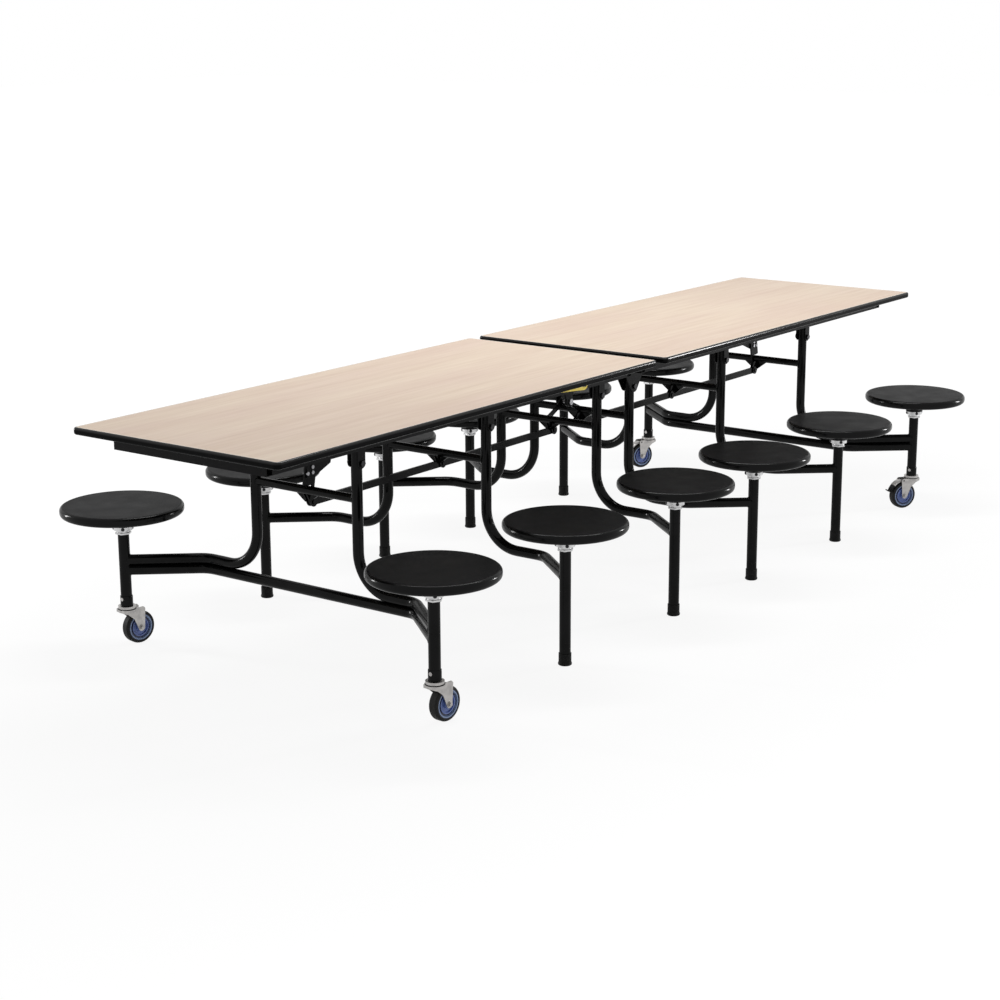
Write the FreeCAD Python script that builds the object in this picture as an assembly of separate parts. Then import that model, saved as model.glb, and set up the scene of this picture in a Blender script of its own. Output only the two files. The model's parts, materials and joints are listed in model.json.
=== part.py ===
import FreeCAD, Part
import math
import os

# Folding cafeteria table with twelve swivel stools.
# Millimetres, +Z up, +X along the table, origin on the floor under the middle joint.
# The table has a left half (side -1, towards -X) and a right half (side +1).
# Distances called "inward" run from a frame towards the middle joint.

Vector = FreeCAD.Vector

# Table tops
half_length = 1829.0
top_width = 762.0
table_height = 762.0
top_thickness = 21.0
middle_gap = 48.0
edge_band_thickness = 7.0
edge_band_rounding = 6.5
top_corner_radius = 16.0

# Steel under frame of each top
rail_spread = 566.0
rail_width = 25.0
rail_height = 41.0
rail_wall = 2.0
end_rail_inset = 63.0
joint_rail_inset = 30.0

# Tube frames
end_frame_x = 1304.0
middle_frame_x = 700.0
inner_frame_x = 97.0
leg_spacing = 388.0
tube_diameter = 32.0
tube_wall = 2.0
post_diameter = 34.0
leg_bend_radius = 115.0
arm_bend_radius = 75.0
arm_angle = 40.0
arm_height = 266.0
twin_tube_weld = 1.0
crossbar_diameter = 25.0
crossbar_drop = 105.0
stool_spread = 1182.0
end_stool_offset = 160.0
inner_stool_offset = 150.0
post_top_height = 348.0

# Leg pivots under the tops
pivot_drop = 101.0
leg_above_pivot = 40.0
bracket_length = 31.0
bracket_eye_radius = 15.0
wide_bracket_length = 185.0
wide_bracket_eye_radius = 20.0
bracket_plate = 4.0
bracket_side_gap = 0.5
pivot_bolt_diameter = 10.0
bolt_head_width = 17.0
bolt_head_thickness = 6.0
pin_clearance = 0.1

# Link bars that keep the frames parallel
link_pin_inset = 27.0
link_pin_drop = 41.0
link_bar_height = 22.0
link_bar_thickness = 8.0
link_pin_diameter = 8.0
link_cheek_thickness = 4.0
link_eye_radius = 14.0
link_side_gap = 0.5
link_rivet_head = 2.5
link_rivet_diameter = 14.4
link_wing_reach = 60.0
link_wing_depth = 38.0
link_wing_offset = 6.0
link_wing_thickness = 4.0
crossbar_foot_half = 10.0

# Stop struts, bolted to hangers under the tops, that bear on the end frames' crossbars
strut_y = 9.0
strut_thickness = 6.0
strut_start = -12.0
strut_width = 48.0
strut_lean = 16.0
strut_top_drop = 28.0
strut_foot_gap = 1.5
strut_side_gap = 0.7
strut_lip_depth = 7.0
strut_bolt_diameter = 6.0
strut_bolt_head_diameter = 11.0
strut_bolt_head_thickness = 3.0
strut_bolt_spots = [(-10.0, 54.0), (11.0, 54.0), (11.0, 38.0)]
hanger_thickness = 4.0
hanger_start = -12.0
hanger_low_length = 36.0
hanger_low_drop = 66.0
hanger_slope_length = 66.0
hanger_slope_rise = 26.0
hanger_top_length = 125.0
hanger_rail_distance = 75.0

# Middle hinge
hinge_drop = 161.0
hinge_pin_diameter = 12.0
hinge_eye_radius = 16.0
hinge_plate = 6.0
hinge_plate_gap = 2.0
hinge_plate_y = 10.0
hinge_arm_length = 60.0
hinge_head_diameter = 20.0
hinge_head_thickness = 4.0
stop_arm_reach = 82.0
stop_arm_drop = 66.0
stop_arm_tip_radius = 7.5
stop_arm_y = 2.0
stop_arm_thickness = 4.0

# Latch handle
latch_pin_x = 309.0
latch_pin_drop = 22.5
latch_pin_diameter = 10.0
latch_pin_head_diameter = 18.0
latch_pin_head_thickness = 3.0
latch_eye_radius = 19.0
latch_reach = 161.0
latch_tip_drop = 3.0
latch_tip_width = 24.0
latch_thickness = 5.0
latch_side_gap = 0.5

# Stools
seat_diameter = 368.0
seat_height = 438.0
seat_thickness = 28.0
seat_upper_rounding = 11.0
seat_lower_rounding = 12.0
seat_hub_diameter = 62.0
seat_hub_flare = 18.0
spindle_plug_length = 34.0
spindle_collar_diameter = 37.0
spindle_collar_height = 10.0
spindle_flange_diameter = 58.0
spindle_flange_height = 14.0
spindle_flare_height = 3.0
spindle_pin_diameter = 20.0
spindle_pin_reach = 6.0
spindle_end_gap = 2.0
running_gap = 0.3

# Foot caps
cap_height = 36.0
cap_base_thickness = 4.0
cap_wall = 2.0
cap_flare = 1.5
cap_flare_height = 6.0
cap_rounding = 2.0

# Casters
caster_height = 124.0
wheel_diameter = 100.0
tyre_width = 30.0
tyre_shoulder = 7.0
core_diameter = 82.0
core_rim_width = 29.0
core_rim_depth = 5.0
core_web_width = 18.0
core_ring_width = 25.0
core_ring_outer = 58.0
core_ring_inner = 50.0
core_hub_diameter = 28.0
axle_diameter = 10.0
axle_head_diameter = 16.0
axle_head_thickness = 2.6
caster_trail = 37.0
fork_plate = 3.0
fork_side_gap = 0.4
fork_hub_width = 31.6
fork_crown_thickness = 10.0
fork_crown_diameter = 53.0
fork_leg_front = 25.0
fork_throat = [(12.0, 24.0), (-8.0, 7.0)]
fork_bridge_reach = 28.0
fork_shoulder = 46.0
fork_shoulder_drop = 6.0
fork_leg_back = 52.0
fork_eye_radius = 11.0
raceway_diameter = 53.0
raceway_thickness = 9.0
kingpin_diameter = 12.0
kingpin_nut_diameter = 20.0
kingpin_nut_height = 6.0
stem_plug_length = 52.0
stem_bolt_height = 22.0
stem_bolt_diameter = 8.0
stem_bolt_head = 11.0
stem_bolt_head_height = 2.5
press_gap = 0.1
brake_pin_x = 43.0
brake_pin_drop = 6.7
brake_pin_diameter = 6.0
brake_thickness = 4.0
brake_width = 24.0
brake_lap_angle = 6.0
brake_end_angle = 15.0
brake_tab_angle = 5.0
brake_tab_length = 10.0
brake_tab_lift = 5.0
caster_turn = {
    "left_near": -4.5,
    "left_far": -10.0,
    "right_near": 148.0,
    "right_far": 155.0,
}

# Values worked out from the driving dimensions
underside = table_height - top_thickness
rail_bottom = underside - rail_height
pivot_height = underside - pivot_drop
leg_top = pivot_height + leg_above_pivot
crossbar_height = pivot_height - crossbar_drop
hinge_height = underside - hinge_drop
leg_y = leg_spacing / 2
stool_y = stool_spread / 2
tube_radius = tube_diameter / 2
bore_radius = tube_radius - tube_wall
post_radius = post_diameter / 2
post_bore_radius = post_radius - tube_wall
crossbar_radius = crossbar_diameter / 2
outer_cheek_y = leg_y + tube_radius + bracket_side_gap
inner_cheek_y = leg_y - tube_radius - bracket_side_gap
rail_outer_y = rail_spread / 2
rail_inner_y = rail_outer_y - rail_width
link_pin_height = crossbar_height - link_pin_drop
seat_bottom = seat_height - seat_thickness
wheel_radius = wheel_diameter / 2
raceway_bottom = caster_height - raceway_thickness
crown_top = raceway_bottom - running_gap
crown_bottom = crown_top - fork_crown_thickness
frame_x = {"end": end_frame_x, "middle": middle_frame_x, "inner": inner_frame_x}
stool_offset = {"end": end_stool_offset, "middle": inner_stool_offset, "inner": inner_stool_offset}
sides = {"left": -1, "right": 1}
wide_bracket_frame = (1, "inner")
latch_side = -1
braked_side = 1


# Small shape helpers

def box(low, high):
    corner = Vector(*[min(a, b) for a, b in zip(low, high)])
    sizes = [abs(b - a) for a, b in zip(low, high)]
    return Part.makeBox(sizes[0], sizes[1], sizes[2], corner)


def rod(radius, start, end):
    start = Vector(*start)
    direction = Vector(*end) - start
    return Part.makeCylinder(radius, direction.Length, start, direction)


def fuse(shapes):
    if len(shapes) == 1:
        return shapes[0]
    return shapes[0].multiFuse(shapes[1:]).removeSplitter()


def revolve(profile, centre):
    """Turns a closed list of (radius, height) points about the vertical through centre."""
    points = [Vector(centre[0] + r, centre[1], z) for r, z in profile]
    face = Part.Face(Part.makePolygon(points + points[:1]))
    return face.revolve(Vector(centre[0], centre[1], 0), Vector(0, 0, 1), 360)


def bent_path(points, radii):
    """A line through the points with an arc of the given radius at each inner point."""
    points = [Vector(*p) for p in points]
    edges = []
    start = points[0]
    for before, corner, after, radius in zip(points, points[1:], points[2:], radii):
        into = (corner - before).normalize()
        out = (after - corner).normalize()
        turn = into.getAngle(out)
        setback = radius * math.tan(turn / 2)
        first = corner - into * setback
        last = corner + out * setback
        inner = (out - into).normalize()
        middle = corner + inner * (radius / math.cos(turn / 2) - radius)
        edges.append(Part.LineSegment(start, first).toShape())
        edges.append(Part.Arc(first, middle, last).toShape())
        start = last
    edges.append(Part.LineSegment(start, points[-1]).toShape())
    return Part.Wire(edges)


def sweep_round(path, radius):
    """A round bar along a path of lines and arcs."""
    start = path.Edges[0]
    direction = start.tangentAt(start.FirstParameter)
    section = Part.Wire(Part.makeCircle(radius, start.valueAt(start.FirstParameter), direction))
    return path.makePipeShell([section], True, False)


def tangent_point(point, centre, radius, side):
    """Where a line from point touches a circle, on the given side of the line to its centre."""
    away = (centre[0] - point[0], centre[1] - point[1])
    distance = math.hypot(*away)
    heading = math.atan2(away[1], away[0])
    spread = math.acos(radius / distance)
    angle = heading + math.pi - side * spread
    return (centre[0] + radius * math.cos(angle), centre[1] + radius * math.sin(angle))


def flat_plate(spots, y_low, y_high):
    """A flat plate in the XZ plane with straight edges through the (x, z) spots."""
    points = [Vector(x, y_low, z) for x, z in spots]
    face = Part.Face(Part.makePolygon(points + points[:1]))
    return face.extrude(Vector(0, y_high - y_low, 0))


def eye_plate(spots, eye, radius, y_low, y_high):
    """A flat plate in the XZ plane with straight edges through the spots, closed by a rounded eye."""
    first = spots[0]
    last = spots[-1]
    middle = ((first[0] + last[0]) / 2, (first[1] + last[1]) / 2)
    axis = (eye[0] - middle[0], eye[1] - middle[1])
    cross = axis[0] * (first[1] - middle[1]) - axis[1] * (first[0] - middle[0])
    side = 1 if cross > 0 else -1
    touch_first = tangent_point(first, eye, radius, side)
    touch_last = tangent_point(last, eye, radius, -side)
    length = math.hypot(*axis)
    tip = (eye[0] + axis[0] / length * radius, eye[1] + axis[1] / length * radius)

    def place(p):
        return Vector(p[0], y_low, p[1])

    corners = [touch_first] + list(spots) + [touch_last]
    edges = [Part.LineSegment(place(a), place(b)).toShape() for a, b in zip(corners, corners[1:])]
    edges.append(Part.Arc(place(touch_last), place(tip), place(touch_first)).toShape())
    return Part.Face(Part.Wire(edges)).extrude(Vector(0, y_high - y_low, 0))


def hexagon_head(width, thickness, centre, direction):
    """A hexagon prism that starts at centre and points along +Y or -Y."""
    corner = width / math.sqrt(3)
    points = []
    for step in range(6):
        angle = math.radians(60 * step)
        x = centre[0] + corner * math.cos(angle)
        z = centre[2] + corner * math.sin(angle)
        points.append(Vector(x, centre[1], z))
    face = Part.Face(Part.makePolygon(points + points[:1]))
    return face.extrude(Vector(0, direction * thickness, 0))


def across(radius, x, z, y_low, y_high):
    """A round bar along Y."""
    return rod(radius, (x, y_low, z), (x, y_high, z))


# Table tops

def rounded_plate(x_low, x_high, half_width, radius, z_low, z_high):
    plate = box((x_low, -half_width, z_low), (x_high, half_width, z_high))
    corners = [e for e in plate.Edges if abs(e.tangentAt(e.FirstParameter).z) > 0.9]
    return plate.makeFillet(radius, corners)


def top_outline(side, inset, z_low, z_high):
    near = side * (middle_gap / 2 + inset)
    far = side * (half_length - inset)
    radius = max(top_corner_radius - inset, 1.0)
    return rounded_plate(min(near, far), max(near, far), top_width / 2 - inset, radius, z_low, z_high)


def top_board(side):
    return top_outline(side, edge_band_thickness, underside, table_height)


def edge_band(side):
    outer = top_outline(side, 0, underside, table_height)
    rims = [e for e in outer.Edges if e.BoundBox.ZLength < 1e-6]
    outer = outer.makeFillet(edge_band_rounding, rims)
    return outer.cut(top_board(side))


# Under frames

def square_tube(low, high, axis):
    """A rectangular steel tube, open at its two ends along the axis."""
    inner_low = [v + (0 if i == axis else rail_wall) for i, v in enumerate(low)]
    inner_high = [v - (0 if i == axis else rail_wall) for i, v in enumerate(high)]
    return box(low, high).cut(box(inner_low, inner_high))


def rail_along(side, y_side):
    near = side * (joint_rail_inset + rail_width)
    far = side * (half_length - end_rail_inset - rail_width)
    y_low, y_high = sorted((y_side * rail_inner_y, y_side * rail_outer_y))
    return square_tube((min(near, far), y_low, rail_bottom), (max(near, far), y_high, underside), 0)


def rail_across(centre_x, half_span):
    low = (centre_x - rail_width / 2, -half_span, rail_bottom)
    high = (centre_x + rail_width / 2, half_span, underside)
    return square_tube(low, high, 1)


def cross_rail_places(side):
    """The centre and half span of each rail that runs across one half."""
    return [
        (side * (joint_rail_inset + rail_width / 2), rail_outer_y),
        (side * (half_length - end_rail_inset - rail_width / 2), rail_outer_y),
        (inward_of_end(side, hanger_rail_distance), rail_inner_y),
    ]


def leg_bracket(x, y_side, length, eye_radius):
    """The U-shaped bracket that holds the top of one leg between two cheeks."""
    half = length / 2
    cheeks = []
    for inner_face in (outer_cheek_y, inner_cheek_y - bracket_plate):
        y_low, y_high = sorted((y_side * inner_face, y_side * (inner_face + bracket_plate)))
        spots = [(x - half, underside), (x + half, underside)]
        cheeks.append(eye_plate(spots, (x, pivot_height), eye_radius, y_low, y_high))
    inner_face = inner_cheek_y - bracket_plate
    outer_face = outer_cheek_y + bracket_plate
    y_low, y_high = sorted((y_side * inner_face, y_side * outer_face))
    roof = box((x - half, y_low, underside - bracket_plate), (x + half, y_high, underside))
    hole = across(pivot_bolt_diameter / 2 + pin_clearance, x, pivot_height, y_low - 1, y_high + 1)
    return fuse(cheeks + [roof]).cut(hole)


def leg_brackets(side):
    """Six brackets, notched where a cross rail passes and cut off at the joint rail."""
    joint_rail_end = (side * (joint_rail_inset + rail_width), rail_outer_y, underside)
    notches = [box((0, -rail_outer_y, rail_bottom), joint_rail_end)]
    for centre_x, half_span in cross_rail_places(side):
        low = (centre_x - rail_width / 2, -half_span, rail_bottom)
        high = (centre_x + rail_width / 2, half_span, underside)
        notches.append(box(low, high))
    brackets = []
    for kind, x in frame_x.items():
        wide = (side, kind) == wide_bracket_frame
        length = wide_bracket_length if wide else bracket_length
        eye_radius = wide_bracket_eye_radius if wide else bracket_eye_radius
        for y_side in (-1, 1):
            brackets.append(leg_bracket(side * x, y_side, length, eye_radius).cut(notches))
    return brackets


def hinge_arm_offsets(side):
    """Where the hinge arms of one half start in Y: the left arms lie outside the right ones."""
    shift = (hinge_plate + hinge_plate_gap) if side < 0 else 0
    return hinge_plate_y + shift


def hinge_arms(side):
    arms = []
    start = hinge_arm_offsets(side)
    base_near = (side * joint_rail_inset, underside)
    base_far = (side * (joint_rail_inset + hinge_arm_length), underside)
    for y_side in (-1, 1):
        y_low, y_high = sorted((y_side * start, y_side * (start + hinge_plate)))
        arm = eye_plate([base_far, base_near], (0, hinge_height), hinge_eye_radius, y_low, y_high)
        hole = across(hinge_pin_diameter / 2 + pin_clearance, 0, hinge_height, y_low - 1, y_high + 1)
        arms.append(arm.cut(hole))
    return arms


def inward_of_end(side, inward):
    return side * (end_frame_x - inward)


def strut_layers(side):
    """Where the stop strut starts in Y, where it meets its hanger, and where the hanger ends."""
    joint = strut_y + strut_thickness
    return side * strut_y, side * joint, side * (joint + hanger_thickness)


def strut_bolt_holes(side):
    inner_face, joint, outer_face = strut_layers(side)
    y_low, y_high = sorted((inner_face, outer_face))
    radius = strut_bolt_diameter / 2 + pin_clearance
    holes = []
    for inward, drop in strut_bolt_spots:
        holes.append(across(radius, inward_of_end(side, inward), pivot_height - drop, y_low, y_high))
    return holes


def strut_hanger(side):
    """The plate under the hanger rail that the stop strut is bolted to."""
    low = pivot_height - hanger_low_drop
    low_end = hanger_start + hanger_low_length
    spots = [
        (hanger_start, rail_bottom),
        (hanger_start, low),
        (low_end, low),
        (low_end + hanger_slope_length, low + hanger_slope_rise),
        (hanger_start + hanger_top_length, rail_bottom),
    ]
    placed = [(inward_of_end(side, inward), z) for inward, z in spots]
    inner_face, joint, outer_face = strut_layers(side)
    y_low, y_high = sorted((joint, outer_face))
    return flat_plate(placed, y_low, y_high).cut(strut_bolt_holes(side))


def stop_strut(side):
    """A plate with a foot that follows the crossbar's path about the pivot, and a lip beside the crossbar."""
    x = side * end_frame_x
    top = pivot_height - strut_top_drop
    lip = crossbar_height - strut_lip_depth
    foot_end = strut_start + strut_width - strut_lean
    spots = [
        (strut_start, top),
        (strut_start + strut_width, top),
        (foot_end, lip),
        (strut_start - strut_lean, lip),
    ]
    placed = [(inward_of_end(side, inward), z) for inward, z in spots]
    inner_face, joint, outer_face = strut_layers(side)
    y_low, y_high = sorted((inner_face, joint))
    plate = flat_plate(placed, y_low, y_high)
    foot_radius = pivot_height - crossbar_height - crossbar_radius - strut_foot_gap
    lip_x = inward_of_end(side, crossbar_radius + strut_side_gap)
    outer_x = x + side * pivot_height
    swept = box((outer_x, y_low, 0), (lip_x, y_high, pivot_height))
    swept = swept.cut(across(foot_radius, x, pivot_height, y_low, y_high))
    return plate.cut([swept] + strut_bolt_holes(side))


def strut_bolts(side):
    inner_face, joint, outer_face = strut_layers(side)
    y_low, y_high = sorted((inner_face, outer_face))
    head_end = outer_face + side * strut_bolt_head_thickness
    bolts = []
    for inward, drop in strut_bolt_spots:
        x = inward_of_end(side, inward)
        z = pivot_height - drop
        shank = across(strut_bolt_diameter / 2, x, z, y_low, y_high)
        head = across(strut_bolt_head_diameter / 2, x, z, *sorted((outer_face, head_end)))
        nut = hexagon_head(strut_bolt_head_diameter, strut_bolt_head_thickness, (x, inner_face, z), -side)
        bolts.append(fuse([shank, head, nut]))
    return bolts


def latch_faces():
    """Where the latch handle starts and ends in Y, on the outer face of the near rail."""
    inner_face = -rail_outer_y - latch_side_gap
    return inner_face - latch_thickness, inner_face


def latch_pin(side):
    """The headed pin on the near rail that the latch handle swings on."""
    x = side * latch_pin_x
    z = underside - latch_pin_drop
    head_start = latch_faces()[0] - latch_side_gap
    shank = across(latch_pin_diameter / 2, x, z, head_start, -rail_outer_y + rail_wall)
    head_end = head_start - latch_pin_head_thickness
    return [shank, across(latch_pin_head_diameter / 2, x, z, head_end, head_start)]


def under_frame(side):
    pieces = [rail_along(side, y_side) for y_side in (-1, 1)]
    pieces += [rail_across(*place) for place in cross_rail_places(side)]
    pieces += hinge_arms(side)
    pieces.append(strut_hanger(side))
    if side == latch_side:
        pieces += latch_pin(side)
    return fuse(pieces)


def pivot_bolts(side):
    """Six bolts through the brackets and the tops of the legs."""
    bolts = []
    inner_face = inner_cheek_y - bracket_plate
    outer_face = outer_cheek_y + bracket_plate
    for x in frame_x.values():
        for y_side in (-1, 1):
            y_low, y_high = sorted((y_side * inner_face, y_side * outer_face))
            shank = across(pivot_bolt_diameter / 2, side * x, pivot_height, y_low, y_high)
            head_place = (side * x, y_side * outer_face, pivot_height)
            head = hexagon_head(bolt_head_width, bolt_head_thickness, head_place, y_side)
            nut_place = (side * x, y_side * inner_face, pivot_height)
            nut = hexagon_head(bolt_head_width, bolt_head_thickness, nut_place, -y_side)
            bolts.append(fuse([shank, head, nut]))
    return bolts


def hinge_pin():
    reach = hinge_arm_offsets(-1) + hinge_plate
    shank = across(hinge_pin_diameter / 2, 0, hinge_height, -reach, reach)
    heads = []
    for y_side in (-1, 1):
        y_low, y_high = sorted((y_side * reach, y_side * (reach + hinge_head_thickness)))
        heads.append(across(hinge_head_diameter / 2, 0, hinge_height, y_low, y_high))
    return fuse([shank] + heads)


def latch_handle(side):
    """A flat lever that tapers from its eye to its tip."""
    x = side * latch_pin_x
    z = underside - latch_pin_drop
    tip_x = x + side * latch_reach
    tip_top = underside - latch_tip_drop
    outer_face, inner_face = latch_faces()
    spots = [(tip_x, tip_top), (tip_x, tip_top - latch_tip_width)]
    lever = eye_plate(spots, (x, z), latch_eye_radius, outer_face, inner_face)
    return lever.cut(across(latch_pin_diameter / 2 + pin_clearance, x, z, outer_face, inner_face))


# Tube frames

def arm_bend_y(offset):
    return stool_y - offset / math.tan(math.radians(arm_angle))


def leg_and_arm(x, post_x, y_side, start_height):
    bend_y = arm_bend_y(abs(post_x - x))
    points = [
        (x, y_side * leg_y, start_height),
        (x, y_side * leg_y, arm_height),
        (x, y_side * bend_y, arm_height),
        (post_x, y_side * stool_y, arm_height),
    ]
    return bent_path(points, (leg_bend_radius, arm_bend_radius))


def twin_tube_path(x, post_x):
    """The second tube of an end frame, welded along the underside of its arms."""
    bend_y = arm_bend_y(abs(post_x - x))
    z = arm_height - tube_diameter + twin_tube_weld
    points = [(post_x, -stool_y, z), (x, -bend_y, z), (x, bend_y, z), (post_x, stool_y, z)]
    return bent_path(points, (arm_bend_radius, arm_bend_radius))


def link_clevis(x, side):
    """Two cheeks under the crossbar that hold the link bar's pin."""
    pin_x = x - side * link_pin_inset
    start = link_bar_thickness / 2 + link_side_gap
    cheeks = []
    for y_side in (-1, 1):
        y_low, y_high = sorted((y_side * start, y_side * (start + link_cheek_thickness)))
        spots = [(x + crossbar_foot_half, crossbar_height), (x - crossbar_foot_half, crossbar_height)]
        cheeks.append(eye_plate(spots, (pin_x, link_pin_height), link_eye_radius, y_low, y_high))
    return cheeks


def link_wings(x, side):
    """Two wings between the crossbar and the cheeks, which stiffen them sideways."""
    inner = link_bar_thickness / 2 + link_side_gap
    tip = inner + link_cheek_thickness
    low = crossbar_height - link_wing_depth
    spots = [(inner, crossbar_height), (link_wing_reach, crossbar_height), (tip, low), (inner, low)]
    wings = []
    for y_side in (-1, 1):
        points = [Vector(x - side * link_wing_offset, y_side * y, z) for y, z in spots]
        face = Part.Face(Part.makePolygon(points + points[:1]))
        wings.append(face.extrude(Vector(-side * link_wing_thickness, 0, 0)))
    return wings


def stop_arm(x, side):
    """An arm from an inner frame's crossbar up to the middle hinge, beside the other half's arm."""
    tip = (x - side * stop_arm_reach, pivot_height - stop_arm_drop)
    y_low, y_high = sorted((-side * stop_arm_y, -side * (stop_arm_y + stop_arm_thickness)))
    spots = [(x, crossbar_height - crossbar_foot_half), (x, crossbar_height + crossbar_foot_half)]
    return eye_plate(spots, tip, stop_arm_tip_radius, y_low, y_high)


def tube_frame(side, kind):
    x = side * frame_x[kind]
    post_x = side * (frame_x[kind] + stool_offset[kind])
    post_bottom = caster_height if kind == "end" else cap_base_thickness
    outer = []
    inner = []
    for y_side in (-1, 1):
        y = y_side * stool_y
        outer.append(sweep_round(leg_and_arm(x, post_x, y_side, leg_top), tube_radius))
        inner.append(sweep_round(leg_and_arm(x, post_x, y_side, leg_top - tube_wall), bore_radius))
        outer.append(rod(post_radius, (post_x, y, post_bottom), (post_x, y, post_top_height)))
        inner.append(rod(post_bore_radius, (post_x, y, post_bottom), (post_x, y, post_top_height)))
    outer.append(across(crossbar_radius, x, crossbar_height, -leg_y, leg_y))
    inner.append(across(crossbar_radius - tube_wall, x, crossbar_height, -leg_y, leg_y))
    outer += link_clevis(x, side)
    outer += link_wings(x, side)
    if kind == "end":
        twin = twin_tube_path(x, post_x)
        outer.append(sweep_round(twin, tube_radius))
        inner.append(sweep_round(twin, bore_radius))
    if kind == "inner":
        outer.append(stop_arm(x, side))
    frame = fuse(outer).cut(inner)
    holes = []
    hole_radius = pivot_bolt_diameter / 2 + pin_clearance
    for y_side in (-1, 1):
        y_low, y_high = sorted((y_side * inner_cheek_y, y_side * outer_cheek_y))
        holes.append(across(hole_radius, x, pivot_height, y_low, y_high))
    pin_x = x - side * link_pin_inset
    holes.append(across(link_pin_diameter / 2 + pin_clearance, pin_x, link_pin_height, -leg_y / 2, leg_y / 2))
    if kind == "end":
        for y_side in (-1, 1):
            y = y_side * stool_y
            z = caster_height + stem_bolt_height
            start = (post_x - post_diameter, y, z)
            end = (post_x + post_diameter, y, z)
            holes.append(rod(stem_bolt_diameter / 2, start, end))
    return frame.cut(holes)


def foot_caps(side, kind):
    post_x = side * (frame_x[kind] + stool_offset[kind])
    base_radius = post_radius + cap_wall + cap_flare
    caps = []
    for y_side in (-1, 1):
        profile = [
            (0, 0),
            (base_radius - cap_rounding, 0),
            (base_radius, cap_rounding),
            (base_radius, cap_base_thickness + cap_rounding),
            (post_radius + cap_wall, cap_base_thickness + cap_flare_height),
            (post_radius + cap_wall, cap_height),
            (post_radius, cap_height),
            (post_radius, cap_base_thickness),
            (0, cap_base_thickness),
        ]
        caps.append(revolve(profile, (post_x, y_side * stool_y)))
    return caps


# Link bars

def link_bar(side):
    """One flat bar with a pin riveted through it at each of the three frames."""
    half = link_bar_height / 2
    far_x = side * (end_frame_x - link_pin_inset)
    near_x = side * (inner_frame_x - link_pin_inset)
    y_half = link_bar_thickness / 2
    low, high = sorted((far_x, near_x))
    pieces = [box((low, -y_half, link_pin_height - half), (high, y_half, link_pin_height + half))]
    for x in (low, high):
        pieces.append(across(half, x, link_pin_height, -y_half, y_half))
    pin_half = y_half + link_side_gap + link_cheek_thickness + link_side_gap
    for x in frame_x.values():
        pin_x = side * (x - link_pin_inset)
        pieces.append(across(link_pin_diameter / 2, pin_x, link_pin_height, -pin_half, pin_half))
        for y_side in (-1, 1):
            y_low, y_high = sorted((y_side * pin_half, y_side * (pin_half + link_rivet_head)))
            pieces.append(across(link_rivet_diameter / 2, pin_x, link_pin_height, y_low, y_high))
    return fuse(pieces)


# Stools

def stool_places(side, kind):
    post_x = side * (frame_x[kind] + stool_offset[kind])
    return {"near": (post_x, -stool_y), "far": (post_x, stool_y)}


def swivel_spindle(place):
    """Turned steel spindle: a plug in the post, a flange on its rim and the pin that a seat turns on."""
    flange_bottom = post_top_height + spindle_collar_height
    flange_top = flange_bottom + spindle_flange_height
    profile = [
        (0, post_top_height - spindle_plug_length),
        (post_bore_radius - press_gap, post_top_height - spindle_plug_length),
        (post_bore_radius - press_gap, post_top_height),
        (spindle_collar_diameter / 2, post_top_height),
        (spindle_collar_diameter / 2, flange_bottom),
        (spindle_flange_diameter / 2, flange_bottom + spindle_flare_height),
        (spindle_flange_diameter / 2, flange_top),
        (spindle_pin_diameter / 2, flange_top),
        (spindle_pin_diameter / 2, seat_bottom - spindle_pin_reach),
        (0, seat_bottom - spindle_pin_reach),
    ]
    return revolve(profile, place)


def seat(place):
    """Round moulded seat with rounded rims and a hub that turns on the spindle."""
    radius = seat_diameter / 2
    hub = seat_hub_diameter / 2
    hub_bottom = post_top_height + spindle_collar_height + spindle_flange_height + running_gap
    bore = spindle_pin_diameter / 2 + pin_clearance
    bore_top = seat_bottom - spindle_pin_reach + spindle_end_gap
    x, y = place

    def spot(r, z):
        return Vector(x + r, y, z)

    def line(a, b):
        return Part.LineSegment(spot(*a), spot(*b)).toShape()

    def corner(centre, size, start):
        angles = [math.radians(start + turn) for turn in (0, 45, 90)]
        spots = [spot(centre[0] + size * math.cos(a), centre[1] + size * math.sin(a)) for a in angles]
        return Part.Arc(*spots).toShape()

    low_centre = (radius - seat_lower_rounding, seat_bottom + seat_lower_rounding)
    high_centre = (radius - seat_upper_rounding, seat_height - seat_upper_rounding)
    edges = [
        line((0, bore_top), (bore, bore_top)),
        line((bore, bore_top), (bore, hub_bottom)),
        line((bore, hub_bottom), (hub, hub_bottom)),
        line((hub, hub_bottom), (hub, seat_bottom - seat_hub_flare)),
        line((hub, seat_bottom - seat_hub_flare), (hub + seat_hub_flare, seat_bottom)),
        line((hub + seat_hub_flare, seat_bottom), (low_centre[0], seat_bottom)),
        corner(low_centre, seat_lower_rounding, -90),
        line((radius, low_centre[1]), (radius, high_centre[1])),
        corner(high_centre, seat_upper_rounding, 0),
        line((high_centre[0], seat_height), (0, seat_height)),
        line((0, seat_height), (0, bore_top)),
    ]
    face = Part.Face(Part.Wire(edges))
    return face.revolve(Vector(x, y, 0), Vector(0, 0, 1), 360)


# Casters, modelled with the swivel axis on Z and the wheel trailing along +X, then turned into place

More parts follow.
